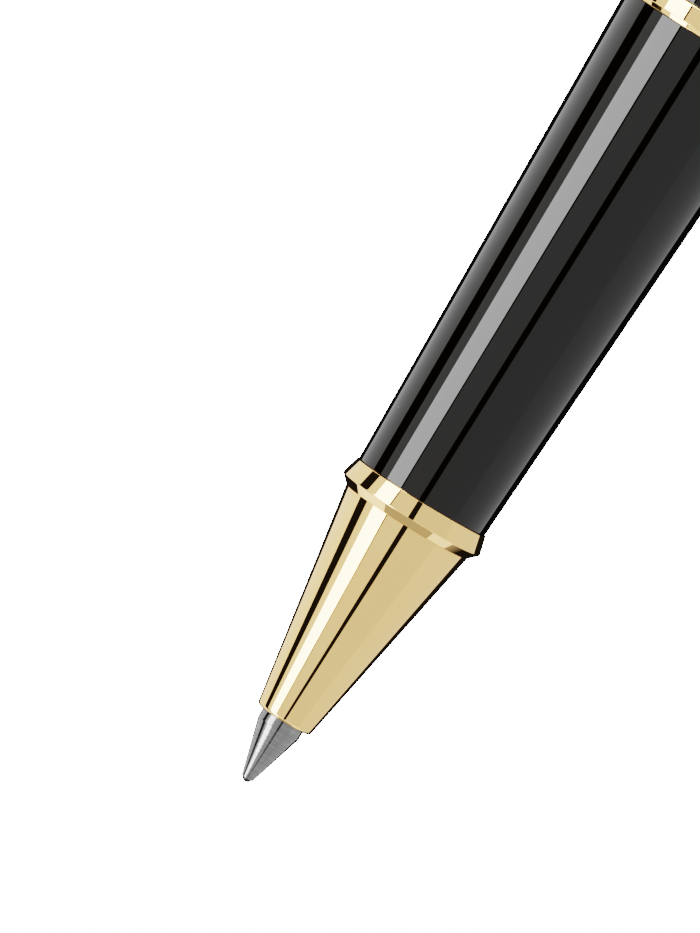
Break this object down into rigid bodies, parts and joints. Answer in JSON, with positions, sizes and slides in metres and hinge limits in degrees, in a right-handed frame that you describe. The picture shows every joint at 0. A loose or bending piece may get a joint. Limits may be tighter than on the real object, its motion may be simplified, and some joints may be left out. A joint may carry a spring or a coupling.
{
  "type": "rollerball pen",
  "caption": "Slim rollerball pen: steel point, gold nose cone and collar, gloss black tapered grip and barrel, and a clipped cap posted on its tail.",
  "frame": {"origin": "the writing point, where the ball touches the paper", "axes": "+Z along the pen from the point to the tail, -Y towards the clip"},
  "size_m": [0.0126, 0.015, 0.1548],
  "materials": {
    "gold_plate": "polished gold plating",
    "black_resin": "polished",
    "point_steel": "fine turned",
    "ball_carbide": "ground",
    "holder_plastic": "moulded",
    "tube_plastic": "moulded",
    "ink_fibre": "soaked fibre",
    "core_brass": "turned",
    "seal_rubber": "moulded",
    "spring_steel": "drawn wire",
    "inner_plastic": "moulded"
  },
  "bodies": {
    "section": {"nose_cone": "gold_plate", "collar_ring": "gold_plate", "grip_sleeve": "black_resin", "grip_core": "core_brass", "neck_seal": "seal_rubber"},
    "refill": {"refill_point": "point_steel", "point_holder": "holder_plastic", "refill_tube": "tube_plastic", "ink_reservoir": "ink_fibre", "feed_wick": "ink_fibre", "refill_plug": "holder_plastic"},
    "ball": {"writing_ball": "ball_carbide"},
    "seam": {"trim_ring": "gold_plate"},
    "barrel": {"barrel_tube": "black_resin", "thread_insert": "core_brass", "refill_spring": "spring_steel", "spring_seat": "inner_plastic", "tail_ring": "gold_plate", "tail_plug": "black_resin"},
    "clutch": {"clutch_ring": "spring_steel"},
    "cap": {"cap_tube": "black_resin", "lip_band": "gold_plate", "thin_band": "gold_plate", "inner_cap": "inner_plastic", "clip_ring": "gold_plate", "cap_crown": "black_resin", "crown_screw": "core_brass", "screw_washer": "spring_steel"},
    "clip": {"clip": "gold_plate"}
  },
  "joints": [
    {"name": "refill_float", "type": "slide", "parent": "section", "child": "refill", "axis": [0, 0, 1], "range_m": [0, 0.001], "stiffness_N_per_m": 300, "springref_m": -0.003, "deforming": ["refill_spring"]},
    {"name": "ball_roll", "type": "hinge", "parent": "refill", "child": "ball", "pos_m": [0, 0, 0.0003], "axis": [1, 0, 0], "continuous": true},
    {"name": "barrel_advance", "type": "slide", "parent": "section", "child": "seam", "axis": [0, 0, 1], "range_m": [0, 0.005]},
    {"name": "barrel_turn", "type": "hinge", "parent": "seam", "child": "barrel", "pos_m": [0, 0, 0.05055], "axis": [0, 0, 1], "range_deg": [0, 1800]},
    {"name": "cap_pull", "type": "slide", "parent": "barrel", "child": "clutch", "axis": [0, 0, 1], "range_m": [0, 0.04]},
    {"name": "cap_turn", "type": "hinge", "parent": "clutch", "child": "cap", "pos_m": [0, 0, 0.0956], "axis": [0, 0, 1], "continuous": true},
    {"name": "clip_flex", "type": "hinge", "parent": "cap", "child": "clip", "pos_m": [0, -0.0052, 0.1476], "axis": [-1, 0, 0], "range_deg": [0, 4], "stiffness_Nm_per_rad": 3}
  ],
  "couplings": [
    {"joint": "barrel_advance", "follows": "barrel_turn", "m_per_rad": 0.00015915}
  ]
}
